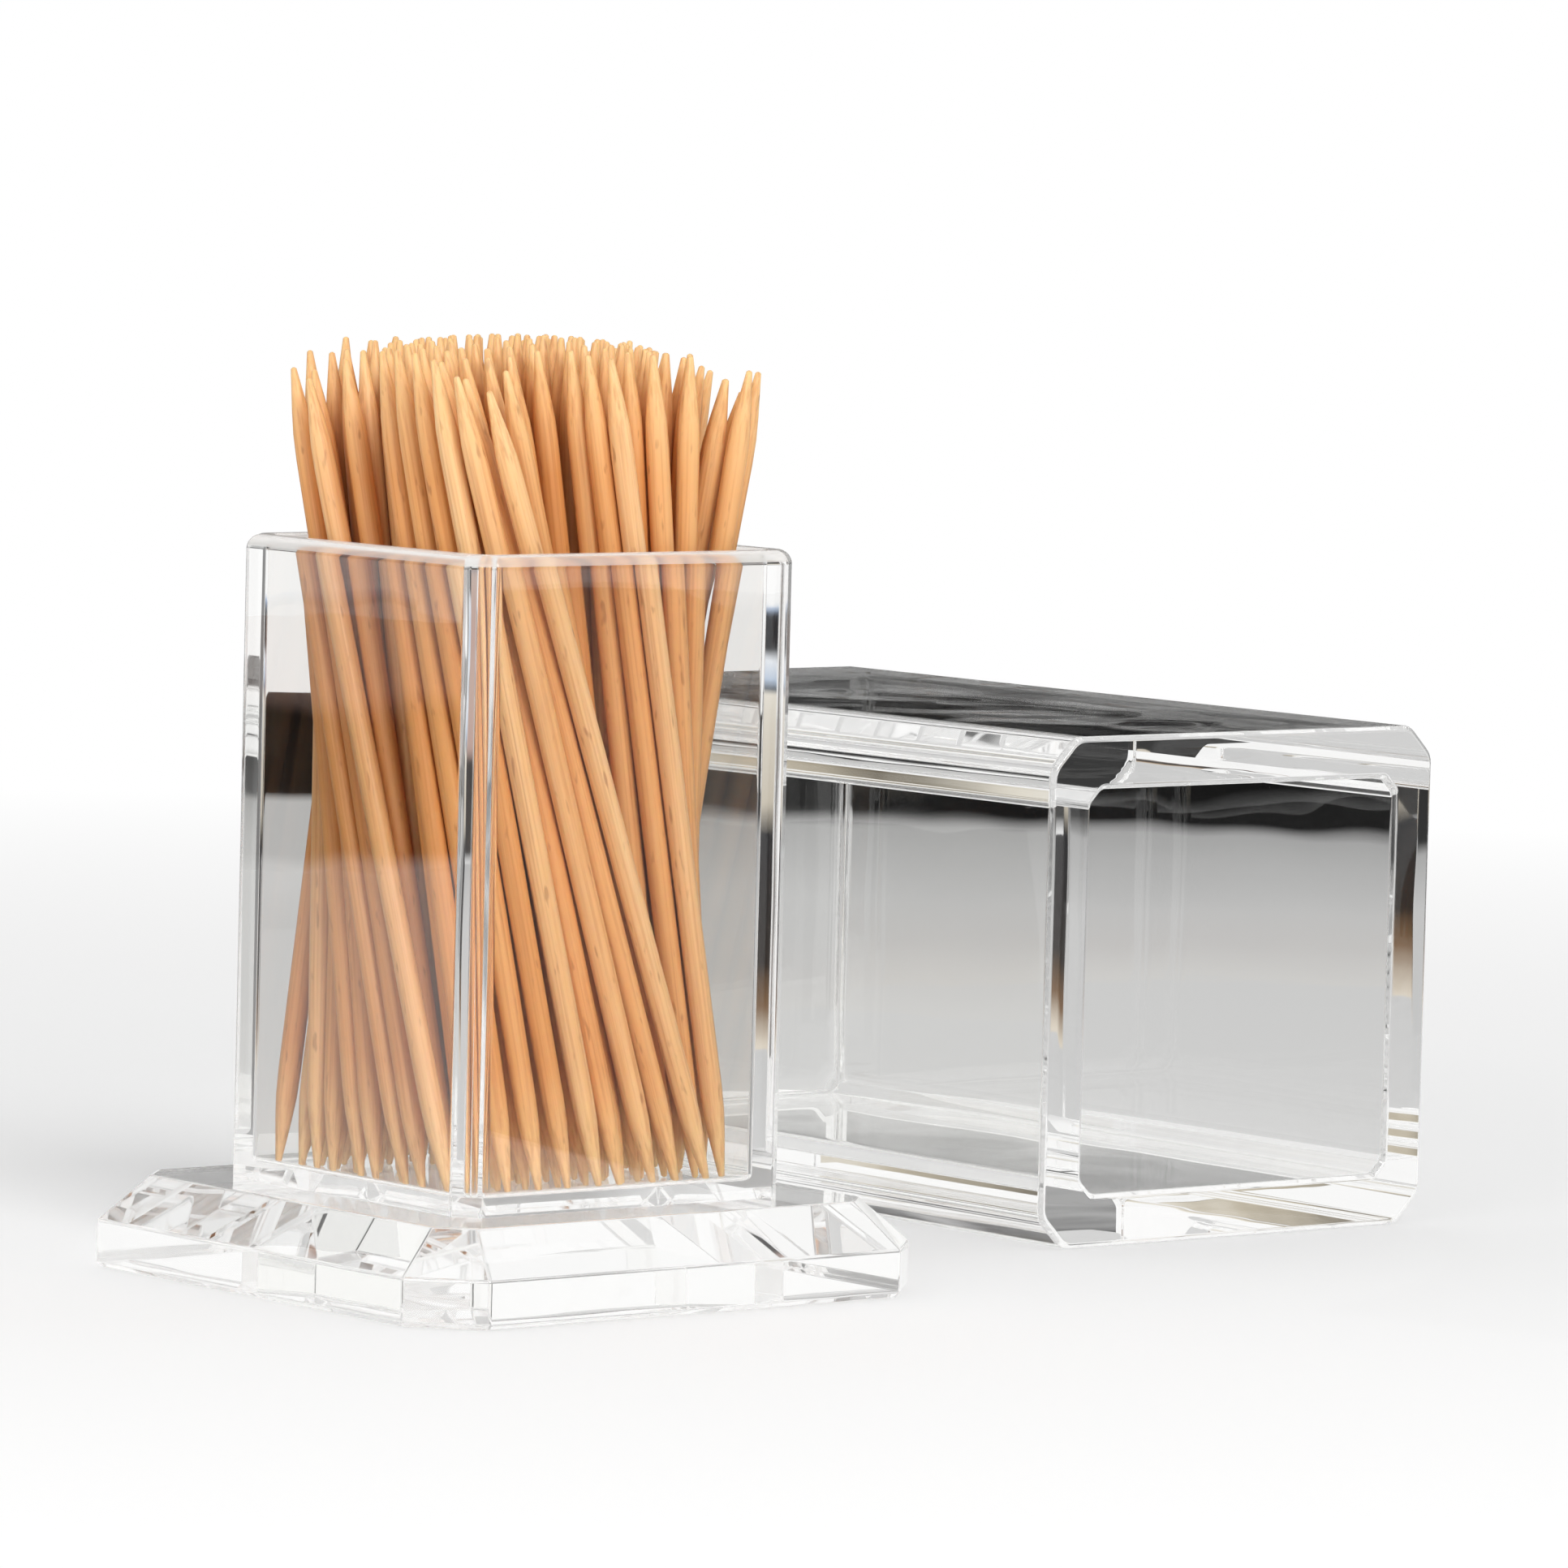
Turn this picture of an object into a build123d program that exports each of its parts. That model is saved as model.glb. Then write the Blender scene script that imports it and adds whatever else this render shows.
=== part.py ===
"""Toothpick holder: a clear plinth, a square cup glued on it, loose picks and a lift-off cover.

Millimetres, +Z up. The origin is the centre of the plinth's underside, -Y is the holder's
front and the cover lies on its side to the right (+X), with its open end to the front.
"""
from build123d import *
from math import sqrt
import os
import numpy as np

os.makedirs("parts", exist_ok=True)

# ---------------------------------------------------------------- driving dimensions
# Cup: a square tube with a thin floor
cup_width = 31.0            # outside, across the flats
cup_wall = 2.5
cup_height = 49.0           # above the plinth
cup_floor = 1.2             # thickness of the cup's own floor
cup_corner = 1.8            # leg of the 45 degree flat down each outside corner
cup_corner_inside = 0.8     # radius of the cavity's corners
cup_rim_round = 1.1         # both edges of the rim are rounded over

# Cover: a thick square tube, closed at one end, that slides down over the cup
cover_gap = 0.5             # all round, between the cup and the cover's inside
cover_wall = 4.2
cover_end = 4.2             # thickness of the closed end
cover_corner = 2.4          # leg of the flat down each outside corner
cover_corner_inside = 1.2   # leg of the flat down each inside corner
cover_headroom = 2.3        # over the longest pick, with the cover on
cover_edge = 0.35           # small chamfer round the open end and the closed end
cover_aside = 23.1          # clear table between the plinth and the cover lying beside it
cover_forward = 7.75        # how far the open end lies in front of the holder's centre

# Plinth: an eight-sided slab with sloping upper facets
plinth_band = 3.6           # height of the upright band
plinth_rise = 3.4           # height of the sloping facets
plinth_run = 3.8            # how far the facets slope inward
plinth_foot = 0.4           # chamfer round the underside

# Picks: bamboo, pointed at both ends
pick_diameter = 1.75
pick_length = 63.5
pick_taper = 6.0            # length of each point
pick_sides = 12             # a pick is round: this many flats stand for it
pick_gap = 0.06             # least space between two picks, and between a pick and the wall

# The bundle: how the picks stand in the cup
ring_count = 7              # rings of picks, one inside the other
ring_core_ratio = 0.15      # the innermost ring's width, as a share of the outermost one's
pick_spread_ratio = 1.6     # spacing along a ring of picks, in pick diameters
floor_square_ratio = 1.9    # 2 is a full square and 1 is a square stood on its corner
rim_square_ratio = 1.5      # the bundle is a little rounder where it passes the rim
bundle_twist = 0.145        # how far a ring turns from floor to rim, in turns
bundle_fan = 0.6            # how much the turn grows along each side of the outermost ring
bundle_scatter = 0.01       # random part of each pick's turn, in turns
floor_scatter_ratio = 0.11  # random shift of each lower tip, in pick diameters
scatter_seed = 11
lean_ratio = 1.03           # a leaning pick is this much thicker on the level
split_rings = 4             # this many outer rings are split into their four sides

# ---------------------------------------------------------------- worked-out sizes
cup_inside = cup_width - 2 * cup_wall
cup_depth = cup_height - cup_floor
cover_inside = cup_width + 2 * cover_gap
cover_width = cover_inside + 2 * cover_wall
cover_depth = cup_floor + pick_length + cover_headroom
cover_length = cover_depth + cover_end
plinth_height = plinth_band + plinth_rise
plinth_top_width = cover_width                      # the cover stands flush on the facets' top edge
plinth_width = plinth_top_width + 2 * plinth_run
plinth_corner = cover_corner + plinth_run * (2 - sqrt(2))
floor_height = plinth_height + cup_floor
cover_centre = plinth_width / 2 + cover_aside + cover_width / 2


def chamfered_square(width, leg):
    """Add a square with its corners cut off at 45 degrees to the sketch being built."""
    Rectangle(width, width)
    chamfer(vertices(), leg)


def finish(piece, name):
    """Label a finished piece and write it as its own file."""
    piece.part.label = name
    export_step(piece.part, f"parts/{name}.step")


# ---------------------------------------------------------------- plinth
with BuildPart() as plinth:
    with BuildSketch():
        chamfered_square(plinth_width, plinth_corner)
    extrude(amount=plinth_band)
    chamfer(plinth.edges().group_by(Axis.Z)[0], plinth_foot)
    with BuildSketch(Plane.XY.offset(plinth_band)):
        chamfered_square(plinth_width, plinth_corner)
    with BuildSketch(Plane.XY.offset(plinth_height)):
        chamfered_square(plinth_top_width, cover_corner)
    loft()
finish(plinth, "plinth")

# ---------------------------------------------------------------- cup
with BuildPart() as cup:
    with BuildSketch(Plane.XY.offset(plinth_height)):
        chamfered_square(cup_width, cup_corner)
    extrude(amount=cup_height)
    with BuildSketch(Plane.XY.offset(floor_height)):
        RectangleRounded(cup_inside, cup_inside, cup_corner_inside)
    extrude(amount=cup_depth, mode=Mode.SUBTRACT)
    fillet(cup.edges().group_by(Axis.Z)[-1], min(cup_rim_round, 0.48 * cup_wall))
finish(cup, "cup")

# ---------------------------------------------------------------- cover
# It lies on one side: its open end faces the front and its length runs to the back.
mouth = Plane(origin=(cover_centre, -cover_forward, cover_width / 2), x_dir=(1, 0, 0), z_dir=(0, 1, 0))

with BuildPart() as cover:
    with BuildSketch(mouth):
        chamfered_square(cover_width, cover_corner)
    extrude(amount=cover_length)
    chamfer(cover.edges().group_by(Axis.Y)[-1], cover_edge)
    with BuildSketch(mouth):
        chamfered_square(cover_inside, cover_corner_inside)
    extrude(amount=cover_depth, mode=Mode.SUBTRACT)
    chamfer(cover.edges().group_by(Axis.Y)[0], cover_edge)
finish(cover, "cover")


# ---------------------------------------------------------------- the bundle of picks
# The picks stand in square rings, one inside the other. Each pick starts on its ring at the
# floor and passes the rim further round the same ring, so that the whole bundle is twisted.
def on_square(half_width, turn, square_ratio):
    """Points on a square: a turn of 0 is the middle of the +X side and 0.25 that of the +Y side."""
    def wave(t):
        return np.clip(square_ratio * (2 * np.abs(2 * (t % 1) - 1) - 1), -1, 1)
    return half_width * np.stack([wave(turn), wave(turn - 0.25)], axis=-1)


def twisted_rings(reach, random):
    """Where each pick meets the floor and the rim's level, before the picks make room."""
    low, high, ring = [], [], []
    for number, half_width in enumerate(np.linspace(1, ring_core_ratio, ring_count) * reach):
        count = max(1, int(8 * half_width / (pick_spread_ratio * pick_diameter)))
        turn = (np.arange(count) + 0.5 * (number % 2)) / count
        along_side = 2 * ((4 * turn + 0.5) % 1) - 1
        fan = bundle_fan * (half_width / reach) ** 2 * along_side
        twist = bundle_twist * (1 + fan) - bundle_scatter * random.uniform(-1, 1, count)
        low.append(on_square(half_width, turn, floor_square_ratio))
        high.append(on_square(half_width, turn - twist, rim_square_ratio))
        ring.append(np.full(count, number))
    low = np.concatenate(low)
    low += floor_scatter_ratio * pick_diameter * random.uniform(-1, 1, low.shape)
    return low, np.concatenate(high), np.concatenate(ring)


def make_room(low, high, reach, most_rounds=900):
    """Push picks that are too close apart, and back inside the walls, until all have room."""
    nudge = pick_diameter / 2000            # parts two picks that would stand on one spot
    close_enough = pick_gap / 500
    first, second = np.triu_indices(len(low), 1)
    top_share = (pick_length - pick_taper / 2) / cup_depth
    for _ in range(most_rounds):
        lean = np.hypot(*(high - low).T) / cup_depth
        needed = (pick_diameter + pick_gap) * np.sqrt(1 + np.maximum(lean[first], lean[second]) ** 2)
        apart_low = low[first] - low[second]
        change = high[first] - high[second] - apart_low
        share = -(apart_low * change).sum(axis=1) / np.maximum((change ** 2).sum(axis=1), nudge ** 2)
        share = np.clip(share, 0, top_share)
        apart = apart_low + change * share[:, None] + nudge
        distance = np.hypot(*apart.T)
        overlap = np.maximum(needed - distance, 0)
        if overlap.max() < close_enough:
            break
        push = apart * (overlap / distance / 2 / ((1 - share) ** 2 + share ** 2))[:, None]
        for ends, weight in ((low, 1 - share), (high, share)):
            np.add.at(ends, first, push * weight[:, None])
            np.add.at(ends, second, -push * weight[:, None])
            np.clip(ends, -reach, reach, out=ends)
    return low, high


reach = cup_inside / 2 - lean_ratio * pick_diameter / 2 - pick_gap
low, high, ring = twisted_rings(reach, np.random.RandomState(scatter_seed))
low, high = make_room(low, high, reach)

with BuildPart() as pick:
    with BuildSketch(Plane.XY.offset(pick_taper)) as lower_shoulder:
        RegularPolygon(pick_diameter / 2, pick_sides)
    with BuildSketch(Plane.XY.offset(pick_length - pick_taper)) as upper_shoulder:
        RegularPolygon(pick_diameter / 2, pick_sides)
    lower_tip = Vertex(0, 0, 0)
    upper_tip = Vertex(0, 0, pick_length)
    loft([lower_tip, lower_shoulder.sketch, upper_shoulder.sketch, upper_tip], ruled=True)

# One node for each side of an outer ring, named after the wall that its picks stand along,
# and one node for each of the small rings in the middle.
sides = ("_right", "_back", "_left", "_front")
side = np.round(2 * np.arctan2(low[:, 1], low[:, 0]) / np.pi).astype(int) % len(sides)
for number in range(ring_count):
    split = number < split_rings
    for wall in range(len(sides) if split else 1):
        members = (ring == number) & ((side == wall) | (not split))
        stands = [
            Plane(origin=(*foot, floor_height), z_dir=(*(rim - foot), cup_depth))
            for foot, rim in zip(low[members], high[members])
        ]
        if not stands:
            continue
        with BuildPart() as row:
            with Locations(*stands):
                add(pick.part)
        finish(row, f"picks_ring_{number + 1}{sides[wall] if split else ''}")
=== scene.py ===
# %% [markdown]
# # A clear toothpick holder and its lift-off cover
#
# The object is three pieces of clear plastic and a bundle of bamboo picks. A plinth with sloping
# facets carries a square cup, the cup is full of picks, and a thick-walled cover lies on its
# side next to them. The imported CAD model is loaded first. It says where everything is, in
# metres, and every new piece is worked out from it. Lengths below are in millimetres until they
# go into a mesh.

# %% Load the frame
import bpy
import numpy as np
from mathutils import Matrix, Vector


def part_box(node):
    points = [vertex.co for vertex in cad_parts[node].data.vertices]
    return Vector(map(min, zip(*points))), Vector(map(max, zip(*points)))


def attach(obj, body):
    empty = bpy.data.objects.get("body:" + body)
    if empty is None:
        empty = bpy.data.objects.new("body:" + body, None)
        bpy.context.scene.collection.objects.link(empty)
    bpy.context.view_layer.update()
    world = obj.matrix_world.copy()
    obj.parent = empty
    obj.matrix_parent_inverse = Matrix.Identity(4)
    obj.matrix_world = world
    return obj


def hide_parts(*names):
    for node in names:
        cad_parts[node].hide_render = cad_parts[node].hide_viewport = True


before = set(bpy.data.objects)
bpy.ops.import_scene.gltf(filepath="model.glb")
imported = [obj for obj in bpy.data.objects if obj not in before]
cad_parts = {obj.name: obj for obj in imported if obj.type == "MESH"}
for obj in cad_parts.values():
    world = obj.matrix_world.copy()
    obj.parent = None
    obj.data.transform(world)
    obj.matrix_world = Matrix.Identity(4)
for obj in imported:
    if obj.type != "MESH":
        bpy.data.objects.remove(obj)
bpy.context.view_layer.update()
scene = bpy.context.scene
scene.view_settings.view_transform = "Standard"
MM = 0.001
BOUNCES = 96                      # light is passed on many times inside clear plastic
SHADOW_FACES = 32                 # and a shadow ray goes straight through this many faces
scene.cycles.max_bounces = BOUNCES
scene.cycles.transmission_bounces = BOUNCES
scene.cycles.glossy_bounces = BOUNCES
scene.cycles.transparent_max_bounces = SHADOW_FACES

# %% [markdown]
# ## The camera
#
# A long lens from three quarters of a metre away, a little above the table, looking at the
# front corner of the cup. Such a lens keeps upright edges almost parallel, as on a product shot.
# The camera is placed by its heading, its tilt and a slight roll about a point between the
# holder and the cover.

# %% Camera
heading, tilt, roll = np.radians([-39.029, 4.491, 1.469])
look_at = np.array([26.366, 0.0, 36.807]) * MM
distance = 758.617 * MM
focal_share = 12074.75 / 1932       # focal length over the image's width

ahead = np.array([-np.sin(heading), np.cos(heading), 0.0])
forward = ahead * np.cos(tilt) - np.array([0.0, 0.0, np.sin(tilt)])
level = np.array([np.cos(heading), np.sin(heading), 0.0])
upright = np.cross(level, forward)
right = level * np.cos(roll) + upright * np.sin(roll)
up = upright * np.cos(roll) - level * np.sin(roll)

camera_data = bpy.data.cameras.new("camera")
camera_data.sensor_width = 36.0
camera_data.lens = focal_share * camera_data.sensor_width
camera_data.clip_start, camera_data.clip_end = 0.05, 20.0       # metres
camera = bpy.data.objects.new("camera", camera_data)
turned = Matrix(np.stack([right, up, -forward], axis=1).tolist()).to_4x4()
camera.matrix_world = Matrix.Translation(Vector(look_at - forward * distance)) @ turned
scene.collection.objects.link(camera)
scene.camera = camera
place = [round(value, 3) for value in camera.matrix_world.translation]
print("lens", round(camera_data.lens, 1), "mm, camera at", place)

# %% [markdown]
# ## Rings on a square with cut corners
#
# Plinth, cup and cover all have the same outline: a square with its corners cut off at 45
# degrees, which is eight sides at 45 degrees to each other. Moulded and flame-polished edges are
# never razor sharp, and on clear plastic the small rounding is what catches the light. So each
# outline is worked out as eight flats joined by eight small arcs, and its direction outward is
# worked out with it. With exact normals the flats stay flat in reflections and the arcs look
# round, which automatic smoothing can't give on long thin faces.

# %% Outline of a cut-corner square
ARC_STEPS = 4                     # faces in each arc of an outline


def outline(flat, corner, rounding):
    """Closed rings of points and their outward directions, one ring per row of the inputs.

    Side k faces the angle 45k degrees and lies flat (k even) or corner (k odd) from the centre.
    Moved inward by the rounding r, neighbouring sides meet in a point p. The ring runs from side
    k to side k + 1 along p + r (cos a, sin a), with a from 45k to 45(k + 1) degrees.
    """
    flat, corner, rounding = (
        np.atleast_1d(size).astype(float)[:, None, None] for size in (flat, corner, rounding)
    )
    side = np.arange(8)[None, :, None]
    reach = np.where(side % 2 == 0, flat, corner) - rounding
    following = np.roll(reach, -1, axis=1)
    start, end = np.pi / 4 * side, np.pi / 4 * (side + 1)
    meet_x = (reach * np.sin(end) - following * np.sin(start)) / np.sin(np.pi / 4)
    meet_y = (following * np.cos(start) - reach * np.cos(end)) / np.sin(np.pi / 4)
    angle = start + (end - start) * np.linspace(0, 1, ARC_STEPS + 1)
    outward = np.stack([np.cos(angle), np.sin(angle)], axis=-1) + 0 * reach[..., None]
    points = np.stack([meet_x, meet_y], axis=-1) + rounding[..., None] * outward
    return points.reshape(len(points), -1, 2), outward.reshape(len(points), -1, 2)


def rounded_profile(corners, steps=5):
    """A line through (inset, height, radius) corners, with each corner rounded to its radius.

    The arc about a corner has its centre on the line that halves the corner, and its points are
    centre + r times the outward direction, which turns evenly from one leg's to the next one's.
    """
    corners = np.array(corners, float)
    along = np.diff(corners[:, :2], axis=0)
    along /= np.linalg.norm(along, axis=1, keepdims=True)
    outward = np.stack([-along[:, 1], along[:, 0]], axis=1)      # in (inset, height)
    points, normals = [corners[:1, :2]], [outward[:1]]
    inner = corners[1:-1]
    for place, radius, before, after in zip(inner[:, :2], inner[:, 2], outward, outward[1:]):
        blend = np.linspace(0, 1, steps)[:, None]
        turn = np.arccos(np.clip(before @ after, -1, 1))
        swept = np.sin((1 - blend) * turn) * before + np.sin(blend * turn) * after
        swept /= np.sin(turn)
        bend = -np.sign(before[0] * after[1] - before[1] * after[0])    # +1 round an outer edge
        centre = place - bend * radius * (before + after) / (1 + before @ after)
        points.append(centre + bend * radius * swept)
        normals.append(swept)
    points.append(corners[-1:, :2])
    normals.append(outward[-1:])
    return np.concatenate(points), np.concatenate(normals)


print("a corner becomes", len(rounded_profile([(0, 0, 0), (0, 9, 1), (9, 9, 0)])[0]) - 2, "points")

# %% Skin over stacked rings
def mesh_piece(name, points, faces, normals=None):
    """An object at the origin with these points and faces, and exact normals where given."""
    mesh = bpy.data.meshes.new(name)
    mesh.from_pydata(points.tolist(), [], faces)
    mesh.polygons.foreach_set("use_smooth", np.ones(len(mesh.polygons), bool))
    if normals is not None:
        mesh.normals_split_custom_set_from_vertices(normals.tolist())
    mesh.update()
    piece = bpy.data.objects.new(name, mesh)
    scene.collection.objects.link(piece)
    return piece


def tube_faces(rows, around):
    """Faces over stacked rings: the walls, then a fan to a pole at the foot and at the head.

    The rings' points are numbered row by row, and the foot's and the head's pole come last.
    """
    index = np.arange(rows * around).reshape(rows, around)
    following = np.roll(index, -1, axis=1)
    corners = (index[:-1], following[:-1], following[1:], index[1:])
    foot_pole = np.full(around, rows * around)
    return (
        np.stack(corners, axis=-1).reshape(-1, 4),
        np.stack([foot_pole, following[0], index[0]], axis=1),
        np.stack([foot_pole + 1, index[-1], following[-1]], axis=1),
    )


def stacked_skin(name, origin, axes, flat, corner, rounding, profile):
    """A closed skin: rings on a cut-corner square, stacked along axes[2] from origin.

    A profile point (inset, height) gives one ring, inset from the outer size. corner and
    rounding are functions of the inset. The first and last ring are closed with a fan to a pole
    in their middle, which is a flat cap.
    """
    spots, directions = profile
    inset, height = spots.T
    rings, outward = outline(flat - inset, corner(inset), rounding(inset))
    axes = np.array(axes, float)
    tall = np.broadcast_to(height[:, None, None], rings.shape[:2] + (1,))
    points = (np.concatenate([rings, tall], axis=-1) @ axes + np.array(origin)) * MM
    sideways = -directions[:, None, :1] * outward
    lengthways = np.broadcast_to(directions[:, None, 1:], rings.shape[:2] + (1,))
    normals = np.concatenate([sideways, lengthways], axis=-1) @ axes
    poles = points[[0, -1]].mean(axis=1)
    points = np.concatenate([points.reshape(-1, 3), poles])
    normals = np.concatenate([normals.reshape(-1, 3), normals[[0, -1], 0]])
    faces = [face for part in tube_faces(*rings.shape[:2]) for face in part.tolist()]
    return mesh_piece(name, points, faces, normals)


print("one outline has", outline(20, 27, 0.3)[0].shape[1], "points")

# %% [markdown]
# ## Plinth
#
# The plinth is one thick moulding: an upright band, sloping facets above it and a flat top
# where the cup is glued on. Every facet slopes inward by the same amount, the corner ones too,
# so the whole skin is one outline inset more and more as it rises. A bevel modifier could round
# its edges as well, but its normals would bend the facets' reflections.

# %% Plinth
DIAGONAL = np.sqrt(2)             # a square's diagonal over its side
low, high = (np.array(corner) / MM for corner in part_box("cup"))
cup_half, cup_foot, cup_rim = high[0], low[2], high[2]
cup_corner = 1.8                  # leg of the flat down each corner
cup_corner_reach = (2 * cup_half - cup_corner) / DIAGONAL
low, high = (np.array(corner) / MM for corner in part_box("plinth"))
plinth_half, plinth_top = high[0], high[2]
plinth_foot, plinth_band, plinth_run = 0.4, 3.6, 3.8
plinth_top_corner = 2.4           # leg of the corner at the facets' top edge
plinth_corner = plinth_top_corner + plinth_run * (2 - DIAGONAL)    # equal facets all round
plinth_corner_reach = (2 * plinth_half - plinth_corner) / DIAGONAL
plinth_edge = 0.45                # radius of the moulded edges, on the cup as well
flat_ring = 3.0                   # a flat end's own ring lies this far in from the outside

plinth_profile = rounded_profile([
    (flat_ring, 0.0, 0),
    (plinth_foot, 0.0, 0.2),
    (0.0, plinth_foot, 0.2),
    (0.0, plinth_band, plinth_edge),
    (plinth_run, plinth_top, plinth_edge),
    (plinth_half - cup_half, plinth_top, 0),
])


def plinth_corner_at(inset):
    """The corner's reach: in step with the facets, and the cup's own where the cup stands."""
    beside_cup = inset < plinth_half - cup_half - 0.001
    return np.where(beside_cup, plinth_corner_reach - inset, cup_corner_reach)


UPRIGHT = ((1, 0, 0), (0, 1, 0), (0, 0, 1))
plinth = stacked_skin(
    "plinth_clear", (0, 0, 0), UPRIGHT, plinth_half,
    plinth_corner_at, lambda inset: plinth_edge + 0 * inset, plinth_profile,
)
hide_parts("plinth")
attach(plinth, "holder")
print("plinth", len(plinth.data.polygons), "faces")

# %% [markdown]
# ## Cup
#
# The cup's wall, rolled rim and inside are one profile carried round the outline: up the
# outside, over the rim and down to the floor of the well. Its outside has cut corners and the
# well has round ones, so the rounding of the outline grows from outside to inside.

# %% Cup
cup_wall, cup_floor, well_corner = 2.5, 1.2, 0.8
well_corner_reach = (cup_half - cup_wall) * DIAGONAL - well_corner * (DIAGONAL - 1)
rim_round, well_fillet = 1.1, 0.5
floor_ring = 2.0                  # the floor's own ring lies this far in from the wall


def corner_through_wall(outer, inner, wall):
    """The corner's reach: evenly from outer to inner through the wall, then a plain square's."""
    slope = (outer - inner) / wall

    def reach(inset):
        in_wall, past_wall = np.minimum(inset, wall), np.maximum(inset - wall, 0)
        return outer - slope * in_wall - DIAGONAL * past_wall
    return reach


cup_profile = rounded_profile([
    (0.0, cup_foot, 0),
    (0.0, cup_rim, rim_round),
    (cup_wall, cup_rim, rim_round),
    (cup_wall, cup_foot + cup_floor, well_fillet),
    (cup_wall + floor_ring, cup_foot + cup_floor, 0),
], steps=8)
cup = stacked_skin(
    "cup_clear", (0, 0, 0), UPRIGHT, cup_half,
    corner_through_wall(cup_corner_reach, well_corner_reach, cup_wall),
    lambda inset: plinth_edge + (well_corner - plinth_edge) * np.clip(inset / cup_wall, 0, 1),
    cup_profile,
)
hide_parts("cup")
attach(cup, "holder")
print("cup", len(cup.data.polygons), "faces")

# %% [markdown]
# ## Cover
#
# The cover is the same kind of piece lying down: a thick square tube, closed at one end, with
# its mouth to the front. Its rings are stacked from the closed end to the mouth, round the lip
# and back down the inside.

# %% Cover
low, high = (np.array(corner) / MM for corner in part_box("cover"))
cover_half, cover_length = (high[0] - low[0]) / 2, high[1] - low[1]
cover_wall, cover_end = 4.2, 4.2
cover_corner, cavity_corner = 2.4, 1.2              # legs of the flats, outside and inside
cover_edge = 0.35                                   # chamfer round both ends
cover_corner_reach = (2 * cover_half - cover_corner) / DIAGONAL
cavity_corner_reach = (2 * (cover_half - cover_wall) - cavity_corner) / DIAGONAL
cover_polish = 0.3                # radius left on the edges by polishing
cover_round = 1.6                 # radius beside the flats of the four long corners
round_loss = 0.15                 # that radius falls by this much per millimetre inward
cover_fillet = 1.5                # radius round the bottom of the cavity

cover_profile = rounded_profile([
    (flat_ring, 0.0, 0),
    (cover_edge, 0.0, cover_polish),
    (0.0, cover_edge, cover_polish),
    (0.0, cover_length - cover_edge, cover_polish),
    (cover_edge, cover_length, cover_polish),
    (cover_wall - cover_edge, cover_length, cover_polish),
    (cover_wall, cover_length - cover_edge, cover_polish),
    (cover_wall, cover_end, cover_fillet),
    (cover_wall + flat_ring, cover_end, 0),
])
MOUTH_FORWARD = ((1, 0, 0), (0, 0, 1), (0, -1, 0))
closed_end = ((low[0] + high[0]) / 2, high[1], cover_half)
cover = stacked_skin(
    "cover_clear", closed_end, MOUTH_FORWARD, cover_half,
    corner_through_wall(cover_corner_reach, cavity_corner_reach, cover_wall),
    lambda inset: np.clip(cover_round - round_loss * inset, cover_polish, None),
    cover_profile,
)
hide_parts("cover")
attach(cover, "cover")
print("cover", len(cover.data.polygons), "faces")

# %% [markdown]
# ## Picks
#
# A pick is a turned bamboo stick with a blunt point at each end. The CAD model has them with
# twelve flats and sharp points, standing as a twisted bundle. Here every CAD pick gives its two
# tips, and a rounder, blunt stick is worked out along the line between them. The sticks of one
# CAD node stay one piece, so that the bundle keeps its rings.

# %% Find the picks in a CAD node
def pick_ends(node):
    """Lower and upper tip of every pick in a CAD node, in metres.

    The loose triangles are joined where they share a point: each point's label falls to the
    smallest label among its triangles until nothing changes. A pick's tips are the two points
    of one label that lie farthest apart along its length.
    """
    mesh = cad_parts[node].data
    loose = np.empty(len(mesh.vertices) * 3)
    mesh.vertices.foreach_get("co", loose)
    corners = np.empty(len(mesh.loops), int)
    mesh.loops.foreach_get("vertex_index", corners)
    points, same = np.unique(np.round(loose.reshape(-1, 3), 7), axis=0, return_inverse=True)
    triangles = same.reshape(-1)[corners].reshape(-1, 3)
    label = np.arange(len(points))
    for _ in range(len(points)):
        lowest = label[triangles].min(axis=1)
        settled = label.copy()
        np.minimum.at(settled, triangles.ravel(), np.repeat(lowest, 3))
        if (settled == label).all():
            break
        label = settled
    ends = []
    for one in np.unique(label):
        stick = points[label == one]
        first = stick[np.argmax(np.linalg.norm(stick - stick.mean(axis=0), axis=1))]
        second = stick[np.argmax(np.linalg.norm(stick - first, axis=1))]
        ends.append(sorted((first, second), key=lambda tip: tip[2]))
    return np.array(ends)


pick_nodes = sorted(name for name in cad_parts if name.startswith("picks_"))
all_ends = {name: pick_ends(name) for name in pick_nodes}
print(sum(len(ends) for ends in all_ends.values()), "picks in", len(pick_nodes), "nodes")

# %% Build the sticks
PICK_SIDES = 12
pick_radius, tip_radius = 0.875, 0.23
# (distance from the tip, share of the full radius) down one end of a pick
taper = np.array([
    (0.03, 0.45 * tip_radius / pick_radius),
    (0.14, tip_radius / pick_radius),
    (1.6, 0.47),
    (3.4, 0.73),
    (5.2, 0.93),
    (7.2, 1.0),
])
STICK_SEED = 5
GRAIN_SPREAD = 500.0              # each stick is cut from its own place in wood this wide
random = np.random.RandomState(STICK_SEED)


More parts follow.
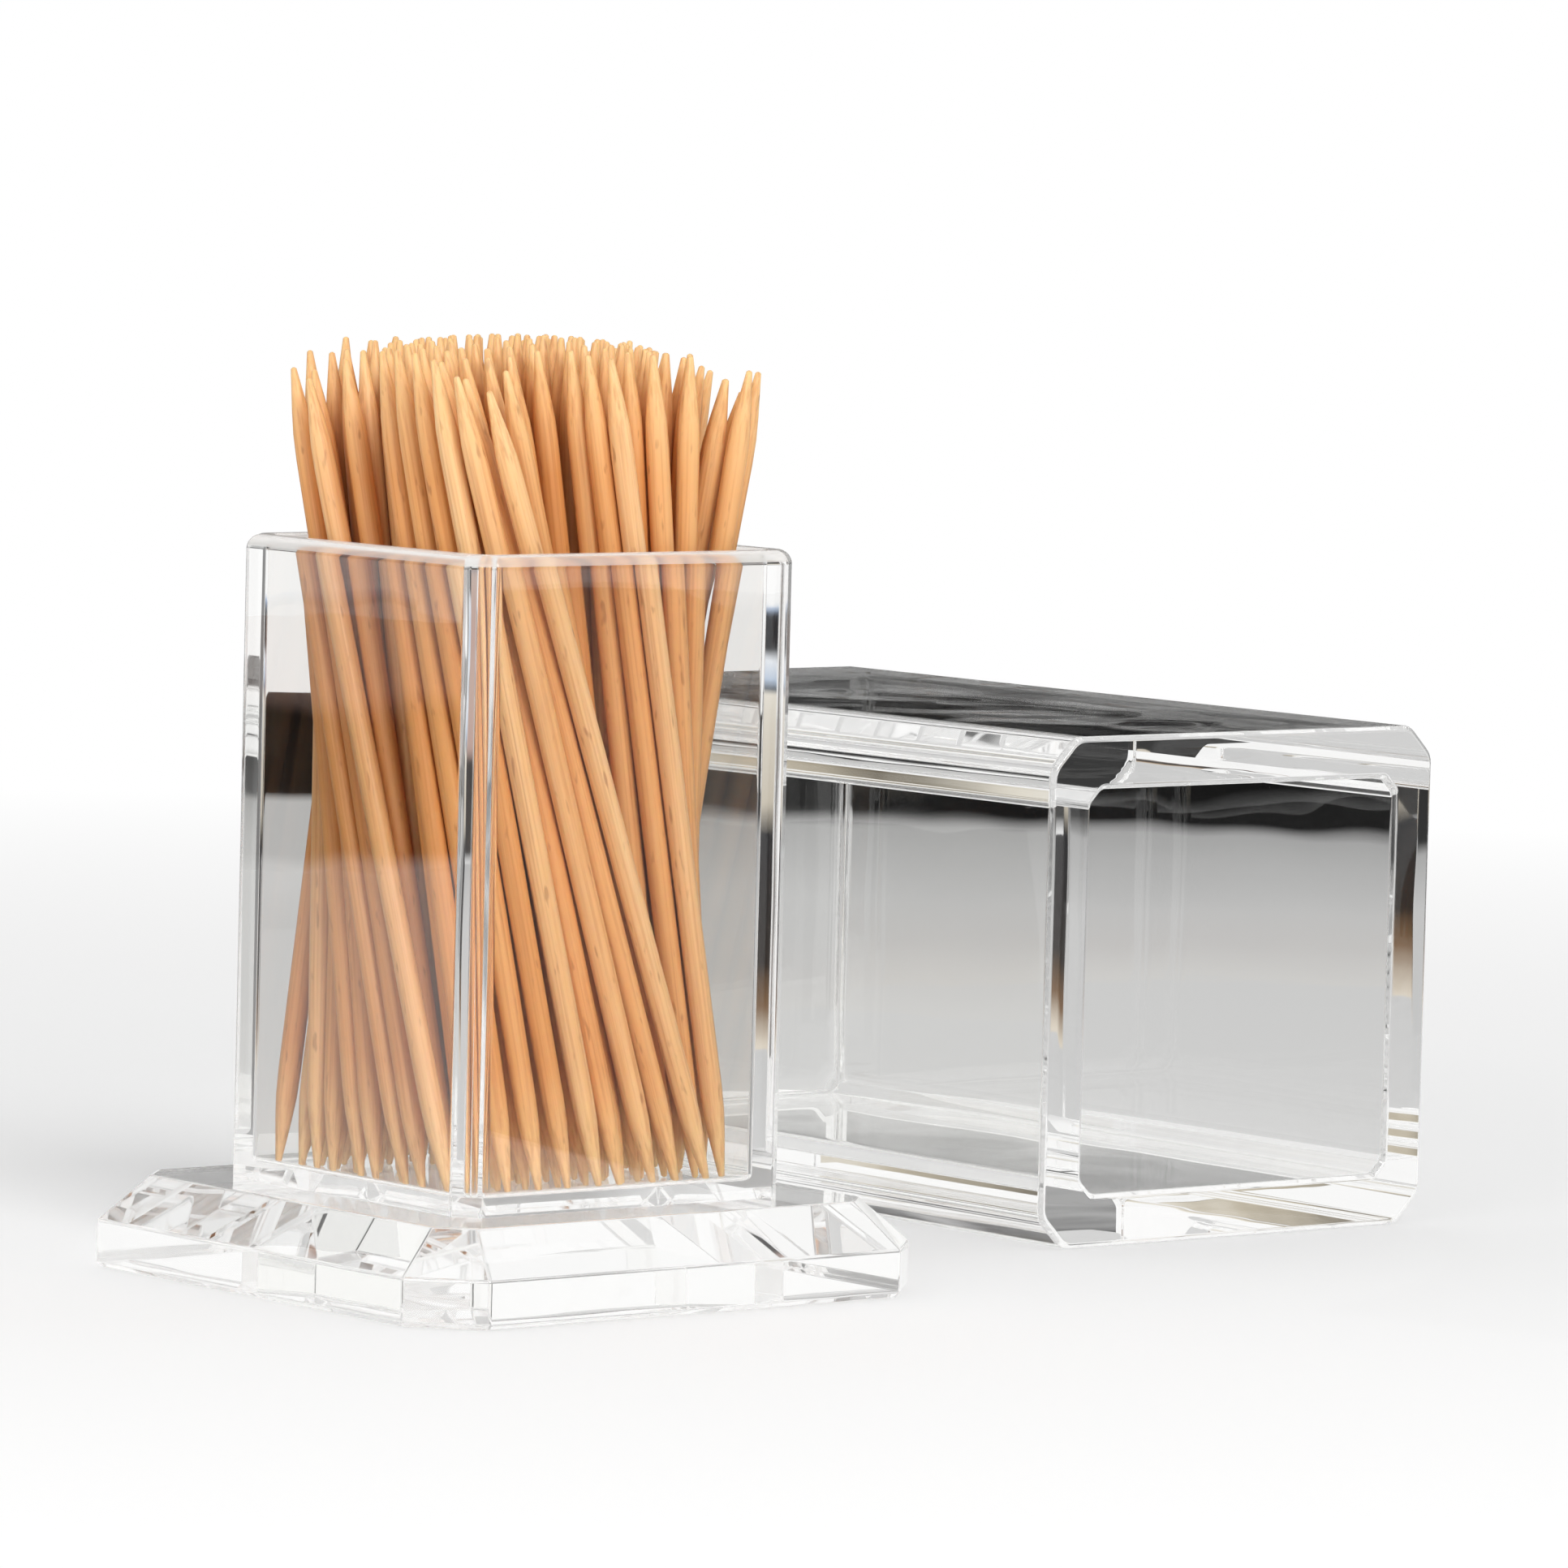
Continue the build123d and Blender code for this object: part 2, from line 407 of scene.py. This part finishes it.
def sticks(name, ends):
    """Round sticks between pairs of tips, as one piece.

    A point at station s along the stick and angle a round it is lower tip + s d + r(s)
    (cos a u + sin a v), where d runs up the stick, and u and v are square to it and to each
    other. r(s) falls off to a blunt point at both ends.
    """
    count = len(ends)
    run = ends[:, 1] - ends[:, 0]
    length = np.linalg.norm(run, axis=1, keepdims=True)
    along = run / length
    u = np.cross(along, (0.0, 1.0, 0.0))
    u /= np.linalg.norm(u, axis=1, keepdims=True)
    v = np.cross(along, u)
    full = length.mean() / MM
    station = np.concatenate([taper[:, 0], [full / 2], full - taper[::-1, 0]])
    share = np.concatenate([taper[:, 1], [1.0], taper[::-1, 1]])
    angle = np.linspace(0, 2 * np.pi, PICK_SIDES, endpoint=False)
    angle = angle + random.uniform(0, np.pi, (count, 1))
    spoke = np.cos(angle)[..., None] * u[:, None] + np.sin(angle)[..., None] * v[:, None]
    size = share * pick_radius * MM
    centres = ends[:, 0][:, None] + station[None, :, None] * MM * along[:, None]
    points = centres[:, :, None] + size[None, :, None, None] * spoke[:, None]
    poles = centres[:, [0, -1]]
    per_stick = len(station) * PICK_SIDES + 2
    points = np.concatenate([points.reshape(count, -1, 3), poles], axis=1).reshape(-1, 3)
    shift = np.arange(count)[:, None, None] * per_stick
    faces = []
    for part in tube_faces(len(station), PICK_SIDES):
        faces += (part + shift).reshape(-1, part.shape[1]).tolist()
    piece = mesh_piece(name, points, faces)

    # the grain, in millimetres, is (across, across, along), and lies apart for each stick
    around = np.stack([np.cos(angle), np.sin(angle)], axis=-1)[:, None]
    across = around * share[None, :, None, None] * pick_radius
    far = np.broadcast_to(station[None, :, None, None], across.shape[:3] + (1,))
    grain = np.concatenate([across, far], axis=-1).reshape(count, -1, 3)
    pole_grain = np.array([[0, 0, 0], [0, 0, full]])[None] + np.zeros((count, 1, 1))
    apart = random.uniform(0, GRAIN_SPREAD, (count, 1, 3)) * (1, 1, 0)
    grain = np.concatenate([grain, pole_grain], axis=1) + apart
    tone = np.repeat(random.uniform(0, 1, count), per_stick)
    age = np.repeat(random.uniform(0, 1, count), per_stick)
    for attribute, kind, values, field in (
        ("grain", "FLOAT_VECTOR", grain, "vector"),
        ("tone", "FLOAT", tone, "value"),
        ("age", "FLOAT", age, "value"),
    ):
        layer = piece.data.attributes.new(attribute, kind, "POINT")
        layer.data.foreach_set(field, np.ascontiguousarray(values, np.float32).ravel())
    return piece


pick_pieces = []
for name in pick_nodes:
    piece = sticks("sticks" + name[len("picks"):], all_ends[name])
    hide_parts(name)
    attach(piece, "picks")
    pick_pieces.append(piece)
print(sum(len(piece.data.polygons) for piece in pick_pieces), "faces on all picks")

# %% [markdown]
# ## A small language for finishes
#
# A finish is worked out from patterns with ordinary arithmetic. Socket wraps the output of a
# shader node, so that a sum or product written in Python adds the Math node for it. Finish adds
# every other node from its type, its settings and its inputs.

# %% Socket and Finish
class Socket:
    """One output of a shader node, on which +, -, * and / add Math nodes."""

    def __init__(self, finish, link):
        self.finish, self.link = finish, link

    def work_out(self, operation, *terms):
        values = {index: term for index, term in enumerate(terms)}
        return self.finish.node("Math", {"operation": operation}, values)["Value"]

    def __add__(self, other):
        return self.work_out("ADD", self, other)

    def __sub__(self, other):
        return self.work_out("SUBTRACT", self, other)

    def __rsub__(self, other):
        return self.work_out("SUBTRACT", other, self)

    def __mul__(self, other):
        return self.work_out("MULTIPLY", self, other)

    def __truediv__(self, other):
        return self.work_out("DIVIDE", self, other)

    __radd__ = __add__
    __rmul__ = __mul__

    def at_most(self, other):
        return self.work_out("MINIMUM", self, other)

    def at_least(self, other):
        return self.work_out("MAXIMUM", self, other)

    def as_share(self):
        return self.at_least(0.0).at_most(1.0)


class Finish:
    """A material, or the world, built node by node."""

    def __init__(self, name, world=False):
        self.data = (bpy.data.worlds if world else bpy.data.materials).new(name)
        self.data.use_nodes = True
        self.tree = self.data.node_tree
        self.tree.nodes.clear()
        output = "World" if world else "Material"
        self.output = self.tree.nodes.new("ShaderNodeOutput" + output)

    def node(self, kind, settings=None, inputs=None):
        """Add a node: its settings first, then the values or links of its sockets."""
        made = self.tree.nodes.new("ShaderNode" + kind)
        for name, value in (settings or {}).items():
            if name == "stops":
                ramp = made.color_ramp
                while len(ramp.elements) < len(value):
                    ramp.elements.new(0.5)
                for element, (place, shade) in zip(ramp.elements, value):
                    element.position, element.color = place, (*shade, 1.0)
            else:
                setattr(made, name, value)
        for name, value in (inputs or {}).items():
            socket = made.inputs[name]
            if isinstance(value, Socket):
                self.tree.links.new(value.link, socket)
            elif isinstance(value, tuple) and len(value) == 3 and socket.type == "RGBA":
                socket.default_value = (*value, 1.0)
            else:
                socket.default_value = value
        return {output.name: Socket(self, output) for output in made.outputs}

    def mix(self, share, first, second):
        """Mix two colours by a share between 0 and 1.

        A Mix node has sockets for numbers, vectors and colours. Its colour inputs are numbered
        6 and 7, and its colour output is found by its type.
        """
        self.node("Mix", {"data_type": "RGBA"}, {0: share, 6: first, 7: second})
        outputs = self.tree.nodes[-1].outputs
        return Socket(self, next(output for output in outputs if output.type == "RGBA"))

    def surface(self, shader):
        self.tree.links.new(shader.link, self.output.inputs["Surface"])


def colour(red, green, blue):
    """A colour as it looks on screen, 0 to 255, as the linear values that Blender wants."""
    shown = np.array([red, green, blue]) / 255
    linear = np.where(shown <= 0.04045, shown / 12.92, ((shown + 0.055) / 1.055) ** 2.4)
    return tuple(float(v) for v in linear)


print("cream is", [round(v, 3) for v in colour(245, 222, 185)])

# %% [markdown]
# ## Bamboo
#
# Turned bamboo is pale straw to warm tan, with fine darker fibres along the stick and now and
# then a brown fleck. Each stick has its own tone, which comes from the attribute that the
# sticks carry. The fibres are noise stretched along the grain, and the same noise lifts them in
# a bump, so that the stick's highlight breaks up into fine lines. Both ends are painted paler
# towards the point, a painted highlight for the light that the tips catch.

# %% Bamboo
bamboo = Finish("bamboo_picks")
grain = bamboo.node("Attribute", {"attribute_name": "grain"})["Vector"]
tone = bamboo.node("Attribute", {"attribute_name": "tone"})["Fac"]
age = bamboo.node("Attribute", {"attribute_name": "age"})["Fac"]


def stretched_noise(across, along, detail, roughness=0.55):
    """Noise with this many waves per millimetre across the grain and along it."""
    scale = (across, across, along)
    stretched = bamboo.node("Mapping", {}, {"Vector": grain, "Scale": scale})["Vector"]
    inputs = {"Vector": stretched, "Scale": 1.0, "Detail": detail, "Roughness": roughness}
    return bamboo.node("TexNoise", {}, inputs)["Fac"]


fibres = stretched_noise(4.5, 0.06, 4.0)
streaks = stretched_noise(1.3, 0.03, 2.0)
flecks = stretched_noise(2.2, 0.5, 1.0)
TIP_HIGHLIGHT_LENGTH = 9.5                # the painted highlight on the points ends this far from the tip
lower_tip, upper_tip = all_ends[pick_nodes[0]][0]
pick_length = float(np.linalg.norm(upper_tip - lower_tip)) / MM
from_foot = bamboo.node("SeparateXYZ", {}, {"Vector": grain})["Z"]
from_tip = from_foot.at_most(pick_length - from_foot)
# share of the painted highlight on the points: 1 at a tip, 0 from this length on
painted_tip_highlight = (1 - from_tip / TIP_HIGHLIGHT_LENGTH).at_least(0.0)
straw = bamboo.node("ValToRGB", {"stops": [
    (0.0, colour(214, 142, 76)),
    (0.35, colour(229, 164, 98)),
    (0.7, colour(240, 188, 128)),
    (1.0, colour(250, 216, 166)),
]}, {"Fac": tone * 0.62 + streaks * 0.38})["Color"]
aged_and_tip_highlight = bamboo.mix(age * 0.16, straw, colour(240, 158, 104))
# paler towards both points: a painted highlight for light falling on the tips
aged_and_tip_highlight = bamboo.mix(painted_tip_highlight * 0.85, aged_and_tip_highlight, colour(252, 208, 149))
fibre_share = ((fibres - 0.46) * 3.2).as_share()
fibre_brown = bamboo.mix(fibre_share * 0.55, aged_and_tip_highlight, colour(186, 108, 48))
fleck_share = ((flecks - 0.66) * 9.0).as_share()
flecked = bamboo.mix(fleck_share * 0.45, fibre_brown, colour(150, 84, 40))
FIBRE_HEIGHT = 0.06
bump = bamboo.node("Bump", {}, {
    "Strength": 0.35,
    "Distance": FIBRE_HEIGHT * MM,
    "Height": fibres * 0.7 + streaks * 0.3,
})["Normal"]
pick_shader = bamboo.node("BsdfPrincipled", {}, {
    "Base Color": flecked,
    "Roughness": 0.42 + fibres * 0.16,
    "Normal": bump,
    "IOR": 1.5,
    "Specular IOR Level": 0.45,
    "Subsurface Weight": 0.25,         # a thin stick glows where light gets into it
    "Subsurface Radius": (1.0, 0.42, 0.12),
    "Subsurface Scale": 0.9 * MM,
})["BSDF"]
bamboo.surface(pick_shader)
for piece in pick_pieces:
    piece.data.materials.append(bamboo.data)
print("bamboo on", len(pick_pieces), "pieces")

# %% [markdown]
# ## Clear plastic
#
# Clear polystyrene, the usual plastic of such boxes, bends light with an index of 1.59 and is
# almost without colour. What shows it is what it bends: the room, the picks and its own edges.
# Mouldings are never quite flat, so a broad faint bump makes the refractions wander, and
# handling leaves faint smears, which are patches of slightly higher roughness. A lamp's light
# would be lost on its way through, because shadow rays don't bend, so those are let straight
# through, a little dimmed.

# %% Clear plastic
CLEAR_INDEX = 1.59
CLEAR_SHADOW = 0.95               # share of a lamp's light that one face lets through
POLISHED = 0.004                  # roughness of a clean face
WAVE_HEIGHT = 0.4


def clear_plastic(name, tint, ripple, smear, satin=0.0, milk=0.0):
    """Clear plastic: ripple bends its faces, smears mark, satin roughens and milk clouds them."""
    finish = Finish(name)
    place = finish.node("TexCoord")["Object"]

    def patches(scale, detail, roughness=0.5):
        inputs = {"Vector": place, "Scale": scale, "Detail": detail, "Roughness": roughness}
        return finish.node("TexNoise", {}, inputs)["Fac"]

    bump = finish.node("Bump", {}, {
        "Strength": ripple,
        "Distance": WAVE_HEIGHT * MM,
        "Height": patches(55.0, 1.0),
    })["Normal"]
    smeared = ((patches(160.0, 4.0, 0.6) - 0.5) * 2.0).at_least(0.0)
    rough = smeared * smear + (POLISHED + satin)
    shader = finish.node("BsdfPrincipled", {}, {
        "Base Color": tint,
        "Roughness": rough,
        "Normal": bump,
        "Transmission Weight": 1.0 - milk,
        "IOR": CLEAR_INDEX,
    })["BSDF"]
    passed = finish.node("BsdfTransparent", {}, {"Color": (CLEAR_SHADOW,) * 3})["BSDF"]
    in_shadow = finish.node("LightPath")["Is Shadow Ray"]
    finish.surface(finish.node("MixShader", {}, {0: in_shadow, 1: shader, 2: passed})["Shader"])
    return finish.data


WATER_CLEAR = colour(253, 253, 252)
for piece, name, ripple, smear in (
    (plinth, "clear_plinth", 0.10, 0.06),
    (cup, "clear_cup", 0.08, 0.05),
    (cover, "clear_cover", 0.10, 0.02),
):
    piece.data.materials.append(clear_plastic(name, WATER_CLEAR, ripple, smear))
    print(name, "ripple", ripple, "smear", smear)

# %% [markdown]
# ## Weld and rolled rim
#
# Some faces have a finish of their own. The cup is welded to the plinth with solvent, which
# leaves no air between them, so the two faces that meet there let light straight through. The
# cup's rim was rolled over with a flame, which leaves it slightly milky.

# %% Finishes for some faces
weld = Finish("welded_joint")
weld.surface(weld.node("BsdfTransparent", {}, {"Color": (1.0, 1.0, 1.0)})["BSDF"])
milky_rim = clear_plastic("milky_rim", colour(254, 252, 249), 0.15, 0.1, satin=0.22, milk=0.30)


def finish_faces(piece, finish, lowest, highest, widest=np.inf):
    """Give a finish to the faces whose corners all lie between two heights, in millimetres.

    widest is how far out, along x or y, such a corner may lie.
    """
    mesh = piece.data
    mesh.materials.append(finish)
    points = np.empty(len(mesh.vertices) * 3)
    mesh.vertices.foreach_get("co", points)
    points = points.reshape(-1, 3) / MM
    inside = (points[:, 2] > lowest - 1e-4) & (points[:, 2] < highest + 1e-4)
    inside &= np.abs(points[:, :2]).max(axis=1) < widest + 1e-3
    corners, starts = np.empty(len(mesh.loops), int), np.empty(len(mesh.polygons), int)
    mesh.loops.foreach_get("vertex_index", corners)
    mesh.polygons.foreach_get("loop_start", starts)
    chosen = np.logical_and.reduceat(inside[corners], starts)
    slots = np.empty(len(mesh.polygons), np.int32)
    mesh.polygons.foreach_get("material_index", slots)
    slots[chosen] = len(mesh.materials) - 1
    mesh.polygons.foreach_set("material_index", slots)
    mesh.update()
    print(piece.name, chosen.sum(), "faces of", finish.name)


finish_faces(plinth, weld.data, plinth_top, plinth_top, cup_half)
finish_faces(cup, weld.data, cup_foot, cup_foot, cup_half)
MILKY_SHARE = 0.9                 # of the rim's rounding
finish_faces(cup, milky_rim, cup_rim - rim_round * MILKY_SHARE, cup_rim)

# %% [markdown]
# ## Table, background and light
#
# The holder stands on a white table that runs into a white background, and the lamps are large
# and soft. Clear plastic shows only what it bends and mirrors, and in a white room that is
# white. So dark, grey and warm cards stand and lie around the set, as a photographer puts them
# round glass. Neither the camera nor the light on the table knows of them. Each card is seen
# only by rays that pass through something clear, or that something clear mirrors.

# %% World
world = Finish("room", world=True)
scene.world = world.data
rays = world.node("LightPath")
looking = 1 - rays["Diffuse Depth"].at_most(1.0)         # no matt surface on the way
in_plastic = rays["Is Glossy Ray"].at_least(rays["Is Transmission Ray"])
seen = rays["Is Camera Ray"].at_least(in_plastic * looking)
ROOM_LIGHT = 0.46                 # how bright the room is to matt surfaces
lighting = (1 - seen) * (1 - rays["Is Transmission Ray"]) * ROOM_LIGHT
WHITE = (1.0, 1.0, 1.0)
background = world.node("Background", {}, {"Color": WHITE, "Strength": seen + lighting})
world.surface(background["Background"])
print("the room lights matt surfaces with", ROOM_LIGHT)

# %% Table
TABLE_DROP = 0.05                 # the table lies this far below the feet
TABLE_HALF = 1500.0
PAPER_GLOW = 0.22                 # lifts the paper to white and leaves its shadows
FADE_CENTRE = np.array([30.0, 20.0, 0.0])
FADE_START, FADE_LENGTH = 120.0, 300.0        # from paper to plain white, going outward
table_finish = Finish("white_table")
table_place = table_finish.node("TexCoord")["Object"]
speckle = table_finish.node("TexNoise", {}, {
    "Vector": table_place,
    "Scale": 900.0,
    "Detail": 2.0,
})["Fac"]
paper = table_finish.node("BsdfPrincipled", {}, {
    "Base Color": table_finish.mix(speckle, (0.80, 0.80, 0.80), (0.83, 0.83, 0.83)),
    "Roughness": 0.9,
    "Specular IOR Level": 0.1,
})["BSDF"]
glow = table_finish.node("Emission", {}, {"Color": WHITE, "Strength": PAPER_GLOW})["Emission"]
white = table_finish.node("Emission", {}, {"Color": WHITE, "Strength": 1.0})["Emission"]
lit = table_finish.node("AddShader", {}, {0: paper, 1: glow})["Shader"]
away = table_finish.node("VectorMath", {"operation": "DISTANCE"}, {
    0: table_place,
    1: tuple(FADE_CENTRE * MM),
})["Value"]
fade = ((away / MM - FADE_START) / FADE_LENGTH).as_share()
table_finish.surface(table_finish.node("MixShader", {}, {0: fade, 1: lit, 2: white})["Shader"])

corners = np.array([(-1, -1), (1, -1), (1, 1), (-1, 1)]) * TABLE_HALF
corners = np.insert(corners, 2, -TABLE_DROP, axis=1) * MM
sheet = mesh_piece("table", corners, [[0, 1, 2, 3]])
sheet.data.materials.append(table_finish.data)
print("the table is", 2 * TABLE_HALF * MM, "m square")

# %% [markdown]
# ## Cards round the set
#
# A card either lies on the table, as part of a ring, or stands, as a curved wall. Its tone runs
# through a few stops from one edge to the other, outward or upward, and a slow noise makes the
# bands waver a little, so that no line inside the plastic is ruler-straight.

# %% Card
SET_CENTRE = np.array([30.0, 15.0, 0.0])      # between the holder and the cover
CARD_STEPS = 49                   # points along a card's arc
SIGHTS = ("camera", "diffuse", "glossy", "transmission", "shadow", "volume_scatter")
WAVER_LYING, WAVER_STANDING = 30.0, 3.0


def card_shape(name, radii, heights, middle_angle, half_spread, seen_by):
    """A card from one radius and height to the other, which only some kinds of ray see.

    Its points are (radius cos a, radius sin a, height) about the set's centre, for a within
    half_spread degrees of middle_angle.
    """
    angle = np.radians(middle_angle + half_spread * np.linspace(-1, 1, CARD_STEPS))
    radius = np.array(radii, float)[:, None]
    height = np.array(heights, float)[:, None] + 0 * angle
    arc = np.stack([radius * np.cos(angle), radius * np.sin(angle), height], axis=-1)
    index = np.arange(arc.shape[0] * arc.shape[1]).reshape(arc.shape[:2])
    faces = np.stack([index[:-1, :-1], index[:-1, 1:], index[1:, 1:], index[1:, :-1]], axis=-1)
    wall = mesh_piece(name, (SET_CENTRE + arc).reshape(-1, 3) * MM, faces.reshape(-1, 4).tolist())
    for sight in SIGHTS:
        setattr(wall, "visible_" + sight, sight in seen_by)
    return wall


def card_finish(name, lying, stops):
    """A glow whose tone runs through the stops: outward on a lying card, else upward."""
    finish = Finish(name)
    place = finish.node("TexCoord")["Object"]
    noise = finish.node("TexNoise", {}, {"Vector": place, "Scale": 14.0, "Detail": 3.0})["Fac"]
    if lying:
        centre = tuple(SET_CENTRE * MM)
        far = finish.node("VectorMath", {"operation": "DISTANCE"}, {0: place, 1: centre})["Value"]
    else:
        far = finish.node("SeparateXYZ", {}, {"Vector": place})["Z"]
    far = far / MM + (noise - 0.5) * (WAVER_LYING if lying else WAVER_STANDING)
    low, high = stops[0][0], stops[-1][0]
    stops = [((at - low) / (high - low), colour(*np.broadcast_to(tone, 3))) for at, tone in stops]
    tone = finish.node("ValToRGB", {"stops": stops}, {"Fac": (far - low) / (high - low)})["Color"]
    looking = 1 - finish.node("LightPath")["Diffuse Depth"].at_most(1.0)
    finish.surface(finish.node("Emission", {}, {"Color": tone, "Strength": looking})["Emission"])
    return finish.data


def lying_card(name, height, middle_angle, half_spread, seen_by, stops):
    """A card on the table, with its stops given as (radius, tone)."""
    radii = (stops[0][0], stops[-1][0])
    card = card_shape(name, radii, (height, height), middle_angle, half_spread, seen_by)
    card.data.materials.append(card_finish(name, True, stops))
    print(name, "lies from", *radii, "mm out")


def standing_card(name, radius, middle_angle, half_spread, seen_by, stops):
    """A card that stands up, with its stops given as (height, tone)."""
    heights = (stops[0][0], stops[-1][0])
    card = card_shape(name, (radius, radius), heights, middle_angle, half_spread, seen_by)
    card.data.materials.append(card_finish(name, False, stops))
    print(name, "stands from", *heights, "mm up")


behind = 90 + np.degrees(heading)        # the way that the camera looks, as an angle from +X
THROUGH, MIRRORED = ("transmission",), ("glossy",)

# %% Cards that lie on the table
# the grey inside the cover, and its pale far part
lying_card(
    "floor_card", height=-0.03, middle_angle=behind + 20, half_spread=95, seen_by=THROUGH,
    stops=[(72, 212), (130, 207), (300, 202), (398, 174), (420, 24), (600, 14)],
)
lying_card(
    "patch_card", height=-0.02, middle_angle=behind + 10, half_spread=7, seen_by=THROUGH,
    stops=[(250, 198), (300, 206), (410, 204), (425, 24)],
)
# warm and blue lines in the upright edges
lying_card(
    "side_card", height=-0.02, middle_angle=106, half_spread=24, seen_by=THROUGH,
    stops=[
        (150, (226, 216, 200)), (190, (122, 92, 62)), (235, (34, 26, 20)), (385, (24, 24, 28)),
        (430, (205, 196, 180)), (625, (232, 226, 214)), (645, (110, 116, 124)),
        (665, (190, 205, 225)), (705, (236, 240, 246)), (730, (20, 22, 26)),
        (820, (16, 18, 24)), (850, (190, 210, 240)),
    ],
)
# what the cup's left and right faces mirror
lying_card(
    "left_card", height=-0.01, middle_angle=134, half_spread=12, seen_by=THROUGH + MIRRORED,
    stops=[(372, 235), (392, 30), (620, 25), (660, (190, 160, 150)), (815, (200, 180, 170))],
)
lying_card(
    "right_card", height=-0.03, middle_angle=-51, half_spread=26, seen_by=THROUGH + MIRRORED,
    stops=[(60, 170), (120, 135), (900, 125)],
)

# %% Cards that stand
# the dark band inside the cover, and its dark top
standing_card(
    "far_card", radius=600, middle_angle=behind - 5.2, half_spread=5.9, seen_by=THROUGH,
    stops=[(44, 168), (66, 162), (71, 110), (75, 22), (110, 14), (230, 14)],
)
standing_card(
    "high_card", radius=172, middle_angle=behind, half_spread=62, seen_by=MIRRORED,
    stops=[(25, 30), (50, 12), (150, 12)],
)
# creamy lines in the edges
standing_card(
    "shelf_card", radius=600, middle_angle=104, half_spread=16, seen_by=THROUGH,
    stops=[
        (470, (250, 246, 236)), (510, (196, 186, 166)), (535, (120, 112, 98)),
        (560, (232, 226, 212)), (610, (250, 250, 250)),
    ],
)

# %% Lamps
def soft_lamp(name, place, aim, width, height, level):
    """An area lamp at a place, aimed at a point, where white paper facing it shows as level.

    From a distance d such paper has the brightness power / (pi^2 d^2).
    """
    place, aim = np.array(place) * MM, np.array(aim) * MM
    lamp = bpy.data.lights.new(name, "AREA")
    lamp.shape, lamp.size, lamp.size_y = "RECTANGLE", width * MM, height * MM
    lamp.energy = level * np.pi ** 2 * float(((place - aim) ** 2).sum())
    holder = bpy.data.objects.new(name, lamp)
    holder.location = place
    holder.rotation_euler = Vector(aim - place).to_track_quat("-Z", "Y").to_euler()
    holder.visible_transmission = False      # shadow rays already bring its light through
    scene.collection.objects.link(holder)
    return holder


middle = (25, 0, 30)
soft_lamp("key_lamp", (-250, -880, 750), middle, width=450, height=450, level=0.54)
soft_lamp("fill_lamp", (-800, -300, 500), middle, width=600, height=400, level=0.18)
print("two lamps, aimed at", middle)
